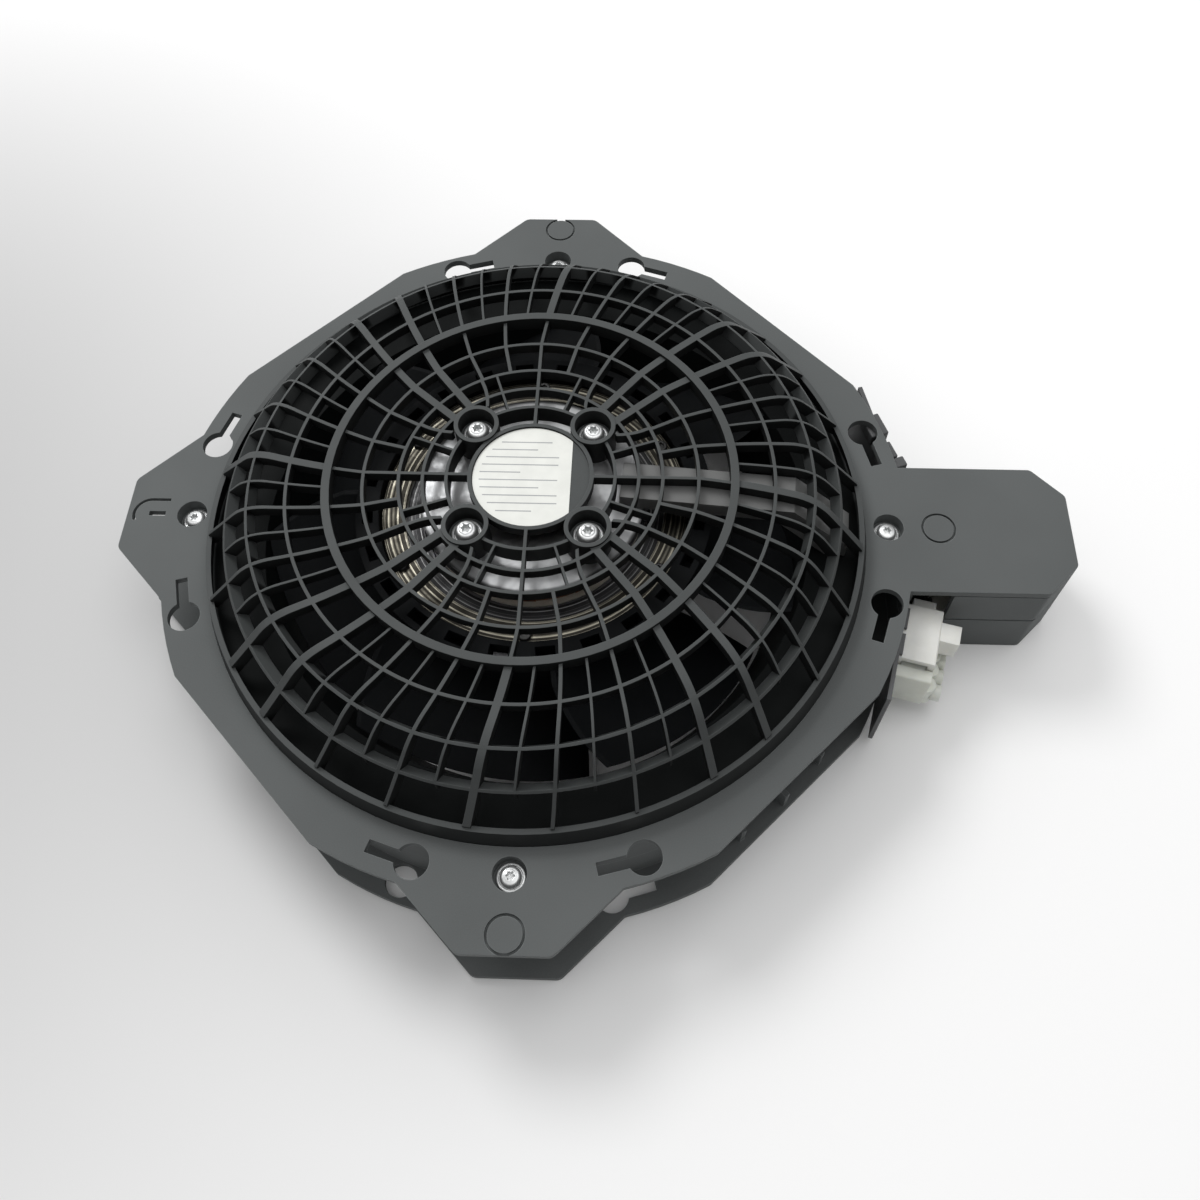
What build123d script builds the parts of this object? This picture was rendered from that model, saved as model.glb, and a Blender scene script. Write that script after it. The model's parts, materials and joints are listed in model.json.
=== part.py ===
from build123d import *
import math
import os

# Compact mixed-flow fan module with an external-rotor motor, a domed outlet guard and a terminal box.
# Frame: origin on the fan's axis in the underside of the lower flange, +Z towards the outlet guard,
# +X towards the terminal box. Millimetres.

# Housing
module_depth = 45.0         # underside of the lower flange to the top of the upper one
plate = 3.0                 # flange plate thickness
flange_radius = 143.5
flat_distance = 137.5       # axis to each of the four flats between the lobes
lobe_tip = 160.5            # axis to a lobe's end face
lobe_tip_half = 15.5        # half width of that end face
lobe_corner = 4.0
skirt_radius = 129.0        # outside of the wall between the flanges
skirt_wall = 2.5
tunnel_wall = 2.5
outlet_radius = 104.5       # tunnel round the impeller, at the outlet plane
throat_radius = 95.0        # narrowest place of the tunnel
throat_z = 14.0
inlet_flare = 12.0          # how far the inlet lip opens out past the throat
gusset_wall = 2.0
gusset_spread = 9.0         # degrees between neighbouring gussets of a flat

# Keyholes that hang the module on four screws, from either flange
keyhole_radius = 6.0
keyhole_circle = 135.8      # axis to the round part's centre
keyhole_angles = (-13.96, 18.99)    # round parts, in degrees from each lobe's axis
keyhole_slot_turn = 6.85    # degrees from the round part to the slot's end
keyhole_slot_width = 4.5

# Screws that join the housing halves, one in each lobe
joint_circle = 135.0
joint_column = 6.8
joint_well = 5.8
joint_floor = 5.6           # depth of the well's floor below the upper flange
joint_screw = 2.0           # M4, shank radius
joint_screw_length = 30.0
joint_head = 4.0
joint_head_height = 2.5
joint_washer = 4.9
joint_washer_thick = 0.8
screw_clearance = 0.15

# Marks in the lobes
lobe_mark_circle = 154.1
lobe_mark_radius = 6.65     # outside of the round groove
lobe_mark_width = 0.9
lobe_mark_depth = 1.3

# Spring tab in the upper flange's lobe opposite the terminal box
tab_circle = 151.7          # axis to the middle of the tab
tab_radius = 6.85           # outside of the slot round the tab
tab_slot_width = 1.2
tab_slot_turns = (85.0, 210.0)      # ends of the slot's round part, in degrees from the X axis
tab_slot_leg = 7.0          # straight part of the slot, towards the fan
tab_window = (-152.0, -145.5)       # along X
tab_window_width = 2.0

# Terminal box
box_start = 141.0
box_end = 204.6
box_half_width = 27.5
box_corner = 12.0
box_round = 3.0
box_wall = 2.5
box_groove = 0.5            # depth of the fine grooves under its top and along its seam
box_groove_height = 0.7
box_neck_start = 120.0      # the flanges' neck to the box, from the axis
socket_window = (140.0, 158.0)      # along X, in the wall beside the connector
socket_window_floor = 14.0

# Outlet guard
guard_top = 32.0            # height of the flat top above the upper flange
guard_shoulder = 103.4      # where the flat top and the leaning wall would meet
guard_shoulder_round = 18.0
guard_foot = 124.3          # leaning wall's foot, on top of the base band
guard_band_height = 7.9
guard_band_radius = 126.1
guard_band_wall = 2.0
guard_rebate = 0.3          # depth of the guard's seat in the upper flange
guard_rebate_play = 0.1
rib_depth = 4.5
wall_rings = (114.0, 103.0)
ring_radii = (88.6, 61.0, 48.0, 39.3)
ring_width = 1.2
main_ring = 74.0
main_ring_width = 3.0
main_ring_rise = 1.5
bend_radius = 61.0          # spokes are straight inside it and swept outside it
spoke_sweep = 0.107         # degrees of sweep for each millimetre beyond the bend
spoke_step = 6.583          # degrees
thick_spoke = 2.8
medium_spoke = 1.3
thin_spoke = 0.9
arm_half_angle = 5.5        # the two arms of a motor boss, either side of 45 degrees

# Motor seat in the guard
seat_disc = 23.0
seat_disc_thick = 3.0
seat_disc_rim = 1.5
seat_rim_height = 1.0
seat_ring = 30.7
seat_ring_wall = 1.2
seat_ring_depth = 8.0
boss_circle = 30.7
boss_radius = 8.4
boss_well = 6.8
boss_rise = 1.0             # boss rims stand this much above the flat top
boss_floor = 5.0
label_radius = 21.3
label_thick = 0.25
label_chord = 14.6          # straight edge, from the axis

# Motor
motor_face = 65.5           # top of the motor flange
motor_flange = 42.0
motor_flange_thick = 4.0
motor_screw = 2.5           # M5, shank radius
motor_screw_length = 9.8
motor_head = 4.5
motor_head_height = 3.5
motor_washer = 5.5
motor_washer_thick = 1.2
bearing_bore = 4.0
bearing_outside = 11.0
bearing_width = 7.0
bearing_lower_z = 20.0
bearing_upper_z = 52.0
ball_radius = 1.95
ball_count = 7
ball_play = 0.05
race_gap = 0.215            # from the ball circle to either ring, as a share of the bearing's section
cage_wall = 1.2
tube_radius = 13.0
tube_bottom = 18.0
tube_shoulder_bore = 9.5
preload_gap = 1.6
spring_leaf = 0.4
core_bottom = 24.0
core_top = 50.0
stator_radius = 41.1
air_gap = 0.5
slot_count = 12
slot_inner = 22.0
slot_outer = 38.0
slot_width = 5.0
liner = 0.8
end_turns = 8.2
shaft_fit = 0.02
slip_fit = 0.05
shaft_end = 2.0             # shaft beyond the upper bearing
groove_depth = 0.4
ring_thick = 1.0
ring_stand = 1.6            # retaining ring's height above the shaft
ring_mouth = 2.4

# Rotor can and impeller
can_radius = 51.0
can_wall = 2.0
can_bottom = 8.0
can_rim_z = 55.0
can_rim_radius = 57.8
can_rim_thick = 1.5
can_boss = 8.0
can_floor = 2.5
can_nose = 3.0              # tapered end of the boss, on the lower bearing's inner ring
can_nose_wall = 1.8
cage_ring_wall = 6.5
cage_ring_height = 4.0
hub_bottom = 4.0
hub_bottom_radius = 56.0
hub_top = 60.0
hub_top_radius = 67.0
hub_skin = 1.2
rim_seat_play = 0.5
hub_eye_play = 2.0          # round the shaft's end in the middle of the hub
pocket_circle = 62.5
pocket_size = (7.0, 4.0, 9.0)       # along the rim, across it and deep
pocket_count = 24
clip_size = (5.4, 3.0, 4.0)
clip_pockets = (6, 17)
blade_count = 7
blade_thick = 2.2
blade_foot = 8.0            # height of the blades' lower edges before they are trimmed
blade_root_inset = 12.0     # root section inside the hub's lower rim
blade_tip_outset = 3.0      # tip section outside the tunnel's upper rim
blade_root = (30.0, 25.0, 59.0, 4.0)        # ahead, behind, upper edge and camber of each section
blade_middle = (50.0, 42.0, 54.0, 6.0)
blade_tip = (66.0, 56.0, 53.0, 8.0)
tip_play = 1.5
impeller_screw_circle = 54.4
impeller_screw_count = 6
impeller_screw = 1.5
impeller_screw_head = 2.6
impeller_screw_head_height = 1.7
impeller_screw_length = 9.0

# Cable duct under the guard, in a frame turned from the X axis
duct_turn = -4.76           # degrees
duct_shift = 4.58           # where its centre line crosses the Y axis
duct_start = 33.0
duct_bend = 96.0            # top of its slope
duct_foot = (110.5, 118.3)  # along the centre line, on the upper flange
duct_foot_height = 5.5
duct_width = 15.0
duct_height = 6.0
duct_wall = 1.2
duct_cover = 0.8
lead_radius = 0.9
lead_pitch = 2.4
lead_middle = -2.5          # middle lead, across the duct
lead_drift = -3.8           # sideways step on the way into the terminal box
lead_level = 34.0           # height of the leads between the duct and the box
lead_room = 5.0
lead_hole = 4.2
lead_exit = 37.0            # where they leave the motor, along the duct

# Terminal box contents
capacitor_radius = 14.0
capacitor_length = 43.0
capacitor_start = 147.0
capacitor_y = 9.5
tab_size = (4.0, 0.8)
tab_offset = 5.0
tab_reach = 3.0
block_size = (26.0, 13.0, 13.0)
block_centre = (160.0, -14.5)
block_ways = 4
block_screw_well = 2.0
block_well_depth = 4.0

# Connector beside the box: its own frame starts at the box wall and runs outwards along the rim
socket_origin = (149.0, -28.0)
socket_turn = -104.0        # degrees
socket_length = 23.0
socket_inner_y = -7.7
socket_outer_y = 7.0
socket_z = (19.0, 33.0)
socket_neck = 4.0
socket_ear = (4.5, 12.3, 14.4)      # start, end and reach
mouth_depth = 15.0
mouth_wall = 2.5
plug_play = 0.3
plug_nose = 12.0
plug_nose_step = 0.5        # nose's top below the plug's
plug_length = 5.5
plug_z = (8.0, 28.5)
plug_shelf = 15.0           # how far its lower part reaches back under the socket
plug_outer_y = 10.5
plug_scallop = 3.3          # radius of the rounds along its outer side
pin_radius = 0.8
pin_reach = 13.0
pin_seat = 6.0              # how deep a pin sits in the socket's floor
pin_pitch = 3.0
funnel_radius = 3.2
funnel_reach = 2.5
funnel_bore = 2.2
funnel_z = 13.0
funnel_depth = 8.0
clamp_radius = 1.55
clamp_length = 3.0
clamp_recess = 0.6
clamp_slot = (6.0, 0.6, 0.7)        # long, wide and deep
clamp_y = 5.0               # across the plug
pin_play = 0.2
holder_wall = 1.6
holder_start = 2.2
holder_length = 45.0        # far end, from the box wall
holder_gap = 0.1
hook_width = 8.5
hook_reach = 2.0
hook_thick = 1.8
hook_starts = (3.0, 14.0)
rest_width = 4.5            # of the arm under the socket

# Worked out from the values above
seam_z = module_depth / 2
plate_under = module_depth - plate
guard_z = module_depth + guard_top
guard_seat_z = module_depth - guard_rebate
rib_under = guard_z - rib_depth
band_z = module_depth + guard_band_height
wall_lean = math.atan2(guard_z - band_z, guard_foot - guard_shoulder)
seat_z = guard_z - seat_rim_height
motor_plate_under = motor_face - motor_flange_thick
joint_floor_z = module_depth - joint_floor
tunnel_slope = (outlet_radius - throat_radius) / (module_depth - throat_z)
hub_slope = (hub_top_radius - hub_bottom_radius) / (hub_top - hub_bottom)
core_bore = stator_radius + air_gap
can_inside = can_radius - can_wall
ball_circle = (bearing_bore + bearing_outside) / 2
LOBES = (0, 90, 180, 270)


def tunnel_radius(z):
    """Inside radius of the tunnel at a height above the throat."""
    return throat_radius + tunnel_slope * (z - throat_z)


def hub_radius(z):
    """Outside radius of the impeller's hub at a height."""
    return hub_bottom_radius + hub_slope * (z - hub_bottom)


def polar(radius, degrees, z=0.0):
    turn = math.radians(degrees)
    return Vector(radius * math.cos(turn), radius * math.sin(turn), z)


def upright(radius, low, high, circle, degrees):
    """An upright rod whose axis stands on a circle round the fan's axis."""
    at = polar(circle, degrees)
    return rod(radius, low, high, at.X, at.Y)


def revolved(points):
    """A ring-shaped solid from the corners of its section, each a radius and a height."""
    return revolve(Plane.XZ * make_face(Polyline(*points, close=True)), Axis.Z)


def tube(outer, inner, low, high):
    return revolved([(inner, low), (outer, low), (outer, high), (inner, high)])


def rod(radius, low, high, x=0.0, y=0.0):
    return Pos(x, y, low) * Cylinder(radius, high - low, align=(Align.CENTER, Align.CENTER, Align.MIN))


def block(x, y, z):
    """A cuboid from its low and high values along each axis."""
    size = (x[1] - x[0], y[1] - y[0], z[1] - z[0])
    return Pos(x[0], y[0], z[0]) * Box(*size, align=(Align.MIN, Align.MIN, Align.MIN))


def around(shape, degrees):
    """Copies of a shape turned about the fan's axis."""
    return [Rot(0, 0, turn) * shape for turn in degrees]


def six_lobe(size):
    """Plan of a six-lobed screw drive."""
    lobes = Sketch() + [loc * Circle(0.28 * size) for loc in PolarLocations(0.78 * size, 6)]
    return Circle(0.8 * size) + lobes


def pan_screw(shank, length, head, height):
    """A pan-head screw with its seat at the origin and its shank down -Z."""
    round_top = 0.45 * height
    dome = fillet(rod(head, 0, height).edges().group_by(Axis.Z)[-1], round_top)
    drive = Pos(0, 0, round_top) * extrude(six_lobe(0.5 * head), height)
    return dome + rod(shank, -length, 0) - drive


def flange_outline():
    """Plan of either flange: a disc with four flats, three lobes and the neck to the terminal box."""
    disc = Circle(flange_radius) & (Rot(0, 0, 45) * Rectangle(2 * flat_distance, 2 * flat_distance))
    reach = lobe_tip + lobe_tip_half
    root = 0.75 * lobe_tip
    corners = [(root, root - reach), (lobe_tip, -lobe_tip_half)]
    corners += [(x, -y) for x, y in reversed(corners)]
    lobe = make_face(Polyline(*corners, close=True))
    lobe = fillet(lobe.vertices().group_by(Axis.X)[-1], lobe_corner)
    neck = Pos((box_neck_start + box_start + 1) / 2, 0)
    neck = neck * Rectangle(box_start + 1 - box_neck_start, 2 * box_half_width)
    return disc + neck + around(lobe, LOBES[1:])


def box_outline(inset=0.0):
    """Plan of the terminal box, or of its inside."""
    start = box_start + inset
    end = box_end - inset
    half = box_half_width - inset
    cut = box_corner - inset * (2 - math.sqrt(2))
    right = [(end - cut, -half), (end, cut - half), (end, half - cut), (end - cut, half)]
    plan = make_face(Polyline((start, -half), *right, (start, half), close=True))
    outer = [v for v in plan.vertices() if v.X > start + 1]
    return fillet(outer, box_round)


def keyholes(side):
    """Plans of one flange's keyholes. Side is 1 for the upper flange and -1 for its mirror image below."""
    plans = []
    for lobe in LOBES:
        for angle in keyhole_angles:
            centre = polar(keyhole_circle, lobe + side * angle)
            end = polar(keyhole_circle, lobe + side * (angle - keyhole_slot_turn))
            along = end - centre
            middle = (centre + end) * 0.5
            heading = math.degrees(math.atan2(along.Y, along.X))
            slot = Pos(middle.X, middle.Y) * Rot(0, 0, heading) * Rectangle(along.length, keyhole_slot_width)
            plans.append(Pos(centre.X, centre.Y) * Circle(keyhole_radius) + slot)
    return plans


def tab_cut():
    """Plan of the slot that frees the spring tab, and of the window in it."""
    ring = Circle(tab_radius) - Circle(tab_radius - tab_slot_width)
    start, end = tab_slot_turns
    reach = 2 * tab_radius
    corners = [polar(reach, start), polar(reach, (start + end) / 2), polar(reach, end)]
    sector = make_face(Polyline((0, 0), *corners, close=True))
    leg = Pos(tab_slot_leg / 2, tab_radius - tab_slot_width / 2) * Rectangle(tab_slot_leg, tab_slot_width)
    low, high = tab_window
    window = Pos((low + high) / 2, 0) * Rectangle(high - low, tab_window_width)
    return Pos(-tab_circle, 0) * ((ring & sector) + leg) + window


def duct_frame():
    return Pos(0, duct_shift, 0) * Rot(0, 0, duct_turn)


def lead_window():
    """Space that the motor leads need on their way from the duct to the terminal box."""
    heights = (lead_level - lead_room, lead_level + lead_room)
    low = lead_middle - lead_pitch + lead_drift - lead_radius - 1
    high = lead_middle + lead_pitch + lead_radius + 0.5
    through_skirt = block((skirt_radius - 8, skirt_radius + 1), (low, high), heights)
    into_box = block((skirt_radius, box_start + box_wall + 2), (low, high - 1.7), heights)
    half = duct_width / 2 - duct_wall
    along = (duct_foot[0] + duct_wall, duct_foot[1] - duct_wall)
    hole = block(along, (-half, half), (plate_under - 1, module_depth + 1))
    return duct_frame() * (through_skirt + into_box + hole)


def socket_opening():
    """Opening in the box's side wall for the connector."""
    across = (-box_half_width - 1, box_wall - box_half_width)
    return block(socket_window, across, (socket_window_floor, plate_under))


def box_grooves(*floors):
    """Fine grooves round the terminal box's wall, one at each height."""
    ring = box_outline() - box_outline(box_groove)
    return [extrude(Pos(0, 0, floor) * ring, box_groove_height) for floor in floors]


def gussets(low, high):
    """Upright webs between the skirt and a flat's edge."""
    web = block((skirt_radius - 1, flat_distance - 1.5), (-gusset_wall / 2, gusset_wall / 2), (low, high))
    turns = [45 + 90 * quarter + step * gusset_spread for quarter in range(4) for step in (-1, 0, 1)]
    return around(web, turns)


def housing_walls(low, high):
    """The skirt, the screw columns and the terminal box's wall between two heights."""
    wall = extrude(Pos(0, 0, low) * (box_outline() - box_outline(box_wall)), high - low)
    columns = [upright(joint_column, low, high, joint_circle, lobe) for lobe in LOBES]
    return [tube(skirt_radius, skirt_radius - skirt_wall, low, high), wall] + columns


def upper_housing():
    plan = flange_outline() + box_outline() - Circle(outlet_radius) - keyholes(1) - tab_cut()
    body = extrude(Pos(0, 0, plate_under) * plan, plate)
    low = tunnel_radius(seam_z)
    high = tunnel_radius(module_depth)
    tunnel = revolved([(low, seam_z), (low + tunnel_wall, seam_z), (high + tunnel_wall, module_depth),
                       (high, module_depth)])
    body = body + [tunnel] + housing_walls(seam_z, plate_under)
    body = body + gussets((plate_under + seam_z) / 2, plate_under)
    mark = tube(lobe_mark_radius, lobe_mark_radius - lobe_mark_width, module_depth - lobe_mark_depth,
                module_depth + 1)
    cuts = around(Pos(lobe_mark_circle, 0, 0) * mark, [lobe for lobe in LOBES if lobe != 180])
    for lobe in LOBES:
        cuts.append(upright(joint_screw + screw_clearance, seam_z - 1, module_depth, joint_circle, lobe))
        cuts.append(upright(joint_well, joint_floor_z, module_depth + 1, joint_circle, lobe))
    cuts.append(rod(guard_band_radius + guard_rebate_play, guard_seat_z, module_depth + 1))
    cuts += box_grooves(seam_z, plate_under - box_groove_height)
    return body - cuts - socket_opening() - lead_window()


def lower_housing():
    plan = flange_outline() + box_outline() - Circle(throat_radius + inlet_flare) - keyholes(-1)
    body = extrude(plan, plate)
    high = tunnel_radius(seam_z)
    lip = throat_radius + inlet_flare
    bend = 1 - math.sqrt(0.5)
    inner_middle = (throat_radius + bend * inlet_flare, bend * throat_z)
    inner_arc = ThreePointArc((throat_radius, throat_z), inner_middle, (lip, 0))
    neck = throat_radius + tunnel_wall
    outer_middle = (neck + bend * (lip - neck), plate + bend * (throat_z - plate))
    outer_arc = ThreePointArc((neck, throat_z), outer_middle, (lip, plate))
    top = Polyline((neck, throat_z), (high + tunnel_wall, seam_z), (high, seam_z), (throat_radius, throat_z))
    edges = [inner_arc, Line((lip, 0), (lip, plate)), outer_arc] + top.edges()
    nozzle = revolve(Plane.XZ * make_face(edges), Axis.Z)
    body = body + [nozzle] + housing_walls(plate, seam_z) + gussets(plate, plate / 2 + seam_z / 2)
    low = joint_floor_z + joint_washer_thick - joint_screw_length - 1
    cuts = [upright(joint_screw + slip_fit, low, seam_z + 1, joint_circle, lobe) for lobe in LOBES]
    cuts += box_grooves(seam_z - box_groove_height)
    return body - cuts - socket_opening()


def swept(radius, degrees):
    """Angle of a spoke at a radius, with its sweep."""
    return degrees - spoke_sweep * max(0.0, radius - bend_radius)


def spoke(degrees, start, end, width):
    """Plan of one guard spoke between two radii."""
    sides = []
    for side in (1, -1):
        def corner(radius):
            return polar(radius, swept(radius, degrees) + side * math.degrees(width / 2 / radius))
        bend = max(start, bend_radius)
        edges = []
        if start < bend_radius:
            edges.append(Line(corner(start), corner(min(bend_radius, end))))
        if end > bend_radius:
            edges.append(ThreePointArc(corner(bend), corner((bend + end) / 2), corner(end)))
        sides.append((edges, corner(start), corner(end)))
    (left, left_start, left_end), (right, right_start, right_end) = sides
    return make_face(left + right + [Line(left_start, right_start), Line(left_end, right_end)])


def joining_spoke(degrees, mirror):
    """Plan of the short curved spoke that runs from the fifth ring to a motor boss."""
    turns = ((ring_radii[2], 0.7), (ring_radii[3], 2.3), (35.5, 5.0))
    sides = []
    for side in (1, -1):
        points = []
        for radius, lean in turns:
            turn = degrees + mirror * lean + side * math.degrees(medium_spoke / 2 / radius)
            points.append(polar(radius, turn))
        sides.append(points)
    left, right = sides
    ends = [Line(left[0], right[0]), Line(left[2], right[2])]
    return make_face([ThreePointArc(*left), ThreePointArc(*right)] + ends)


def dome_point(radius):
    """Height and lean of the guard's outer surface at a radius."""
    bend_start = guard_shoulder - guard_shoulder_round * math.tan(wall_lean / 2)
    bend_end = guard_shoulder + guard_shoulder_round * math.tan(wall_lean / 2) * math.cos(wall_lean)
    if radius <= bend_start:
        return guard_z, 0.0
    if radius >= bend_end:
        return guard_z - (radius - guard_shoulder) * math.tan(wall_lean), wall_lean
    lean = math.asin((radius - bend_start) / guard_shoulder_round)
    return guard_z - guard_shoulder_round * (1 - math.cos(lean)), lean


def dome_ring(radius):
    """A guard ring whose section stands square to the dome."""
    height, lean = dome_point(radius)
    along = Vector(math.cos(lean), -math.sin(lean)) * (ring_width / 2)
    inwards = Vector(-math.sin(lean), -math.cos(lean)) * rib_depth
    at = Vector(radius, height)
    corners = [at - along, at + along, at + along + inwards, at - along + inwards]
    return revolved([(corner.X, corner.Y) for corner in corners])


def guard_plan():
    """Plan of the guard's spokes and of the rings of its flat top."""
    foot = guard_foot - 1.0
    outer_ring = wall_rings[0]
    fifth_ring = ring_radii[2]
    plans = []
    for quarter in LOBES:
        plans.append(spoke(quarter, seat_ring, main_ring, ring_width))
        plans.append(spoke(quarter, main_ring, foot, thick_spoke))
        for mirror in (1, -1):
            start = quarter if mirror == 1 else quarter + 90
            arm_start = boss_circle + boss_well
            plans.append(spoke(quarter + 45 + mirror * arm_half_angle, arm_start, foot, thick_spoke))
            for step in (1, 3, 5):
                plans.append(spoke(start + mirror * step * spoke_step, main_ring, outer_ring, thin_spoke))
            for step in (2, 4):
                plans.append(spoke(start + mirror * step * spoke_step, fifth_ring, foot, medium_spoke))
            plans.append(spoke(start + mirror * 3 * spoke_step, seat_ring, fifth_ring, thin_spoke))
            plans.append(joining_spoke(start + mirror * 4 * spoke_step, mirror))
    for radius in ring_radii:
        plans.append(Circle(radius + ring_width / 2) - Circle(radius - ring_width / 2))
    plans.append(Circle(main_ring + main_ring_width / 2) - Circle(main_ring - main_ring_width / 2))
    return Sketch() + plans


def guard_shell():
    """The dome that the guard's ribs are cut from."""
    across = rib_depth / math.sin(wall_lean)
    drop = rib_depth * math.tan(wall_lean / 2)
    start = seat_ring - seat_ring_wall
    outer = FilletPolyline((start, guard_z), (guard_shoulder, guard_z), (guard_foot, band_z),
                           radius=guard_shoulder_round)
    inner_shoulder = guard_shoulder - drop
    inner_foot = guard_foot - across
    inner_end = (inner_foot + rib_depth / math.tan(wall_lean), band_z - rib_depth)
    inner = FilletPolyline((start, rib_under), (inner_shoulder, rib_under), inner_end,
                           radius=guard_shoulder_round - rib_depth)
    foot = Polyline((guard_foot, band_z), (guard_foot - 0.4, band_z - rib_depth), inner_end)
    side = Line((start, guard_z), (start, rib_under))
    face = make_face(outer.edges() + inner.edges() + foot.edges() + side.edges())
    return revolve(Plane.XZ * face, Axis.Z)


def outlet_guard():
    ribs = extrude(Pos(0, 0, module_depth) * guard_plan(), guard_top + 1) & guard_shell()
    band = revolved([(guard_band_radius - guard_band_wall, guard_seat_z), (guard_band_radius, guard_seat_z),
                     (guard_foot, band_z), (guard_foot - guard_band_wall, band_z)])
    half_ring = main_ring_width / 2
    rise = tube(main_ring + half_ring, main_ring - half_ring, rib_under, guard_z + main_ring_rise)
    half_wall = seat_ring_wall / 2
    ring = tube(seat_ring + half_wall, seat_ring - half_wall, guard_z - seat_ring_depth, guard_z)
    disc = rod(seat_disc, seat_z - seat_disc_thick, guard_z)
    recess = rod(seat_disc - seat_disc_rim, seat_z, guard_z + 1)
    short = block((seat_disc - 1, seat_ring), (-ring_width / 2, ring_width / 2), (rib_under, guard_z))
    bosses = []
    wells = []
    for lobe in LOBES:
        turn = lobe + 45
        bosses.append(upright(boss_radius, motor_face, guard_z + boss_rise, boss_circle, turn))
        wells.append(upright(boss_well, motor_face + boss_floor, guard_z + boss_rise + 1, boss_circle, turn))
        wells.append(upright(motor_screw + screw_clearance, motor_face - 1, guard_z, boss_circle, turn))
    body = ribs + [dome_ring(radius) for radius in wall_rings]
    body = body + [band, rise, ring, disc - recess] + around(short, LOBES) + bosses
    return body - wells


def rating_label():
    left_of_chord = Pos(label_chord - label_radius, 0) * Rectangle(2 * label_radius, 4 * label_radius)
    disc = Circle(label_radius) & left_of_chord
    return extrude(Pos(0, 0, seat_z) * disc, label_thick)


def joint_screws():
    screw = pan_screw(joint_screw, joint_screw_length, joint_head, joint_head_height)
    seat = joint_floor_z + joint_washer_thick
    return around(Pos(joint_circle, 0, seat) * screw, LOBES)


def joint_washers():
    top = joint_floor_z + joint_washer_thick
    washer = tube(joint_washer, joint_screw + screw_clearance, joint_floor_z, top)
    return around(Pos(joint_circle, 0, 0) * washer, LOBES)


def motor_screws():
    screw = pan_screw(motor_screw, motor_screw_length, motor_head, motor_head_height)
    seat = motor_face + boss_floor + motor_washer_thick
    return around(Pos(boss_circle, 0, seat) * screw, [lobe + 45 for lobe in LOBES])


def motor_washers():
    low = motor_face + boss_floor
    washer = tube(motor_washer, motor_screw + screw_clearance, low, low + motor_washer_thick)
    return around(Pos(boss_circle, 0, 0) * washer, [lobe + 45 for lobe in LOBES])


def motor_flange_tube():
    """The motor's flange with its bearing tube."""
    low_seat = bearing_lower_z + bearing_width + preload_gap
    outside = [(tube_radius, tube_bottom), (tube_radius, motor_plate_under)]
    outside += [(motor_flange, motor_plate_under), (motor_flange, motor_face)]
    inside = [(bearing_outside + shaft_fit, motor_face), (bearing_outside + shaft_fit, bearing_upper_z),
              (tube_shoulder_bore, bearing_upper_z), (tube_shoulder_bore, low_seat),
              (bearing_outside + shaft_fit, low_seat), (bearing_outside + shaft_fit, tube_bottom)]
    body = revolved(outside + inside)
    holes = [upright(motor_screw + slip_fit, motor_plate_under - 1, motor_face + 1, boss_circle, lobe + 45)
             for lobe in LOBES]
    way_out = duct_frame() * rod(lead_hole, motor_plate_under - 1, motor_face + 1, lead_exit, lead_middle)
    return body - holes - way_out


def slot_bars(width, inner, outer, low, high):
    bar = block((inner, outer), (-width / 2, width / 2), (low, high))
    return around(bar, [360 * i / slot_count for i in range(slot_count)])


def stator_core():
    ring = tube(stator_radius, tube_radius + slip_fit, core_bottom, core_top)
    return ring - slot_bars(slot_width, slot_inner, slot_outer, core_bottom - 1, core_top + 1)


def slot_liners():
    """The two insulating end plates of the stator."""
    plate_ring = tube(slot_outer + 2, slot_inner - 2, core_top, core_top + liner)
    lower = Pos(0, 0, core_bottom - liner - core_top) * plate_ring
    bars = slot_bars(slot_width, slot_inner, slot_outer, core_bottom - liner - 1, core_top + liner + 1)
    return [plate_ring - bars, lower - bars]


def windings():
    """Copper in the slots and its end turns, as one varnished body."""
    low = core_bottom - liner
    high = core_top + liner
    bars = slot_bars(slot_width - 0.4, slot_inner + 0.2, slot_outer - 0.2, low, high)
    upper = tube(slot_outer - 0.2, slot_inner + 0.2, high, high + end_turns)
    lower = tube(slot_outer - 0.2, slot_inner + 0.2, low - end_turns, low)
    upper = fillet(upper.edges().group_by(Axis.Z)[-1], 2.5)
    lower = fillet(lower.edges().group_by(Axis.Z)[0], 2.5)
    return upper + lower + bars


def bearing_parts():
    """Outer rings, inner rings, cages and balls of the two ball bearings."""
    race = Torus(ball_circle, ball_radius + ball_play)
    gap = (bearing_outside - bearing_bore) * race_gap
    outer_ring = tube(bearing_outside, ball_circle + gap, -bearing_width / 2, bearing_width / 2) - race
    inner_ring = tube(ball_circle - gap, bearing_bore, -bearing_width / 2, bearing_width / 2) - race
    turns = [360 * i / ball_count for i in range(ball_count)]
    balls = around(Pos(ball_circle, 0, 0) * Sphere(ball_radius), turns)
    pocket = Rot(0, 90, 0) * Cylinder(ball_radius + ball_play, 2 * cage_wall)
    pockets = around(Pos(ball_circle, 0, 0) * pocket, turns)
    edge = ball_radius + cage_wall / 2
    cage = tube(ball_circle + cage_wall / 2, ball_circle - cage_wall / 2, -edge, edge) - pockets
    groups = {"bearing_outer_rings": [], "bearing_inner_rings": [], "bearing_cages": [], "bearing_balls": []}
    for low in (bearing_lower_z, bearing_upper_z):
        place = Pos(0, 0, low + bearing_width / 2)
        groups["bearing_outer_rings"].append(place * outer_ring)
        groups["bearing_inner_rings"].append(place * inner_ring)
        groups["bearing_cages"].append(place * cage)
        groups["bearing_balls"] += [place * ball for ball in balls]
    return groups


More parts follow.
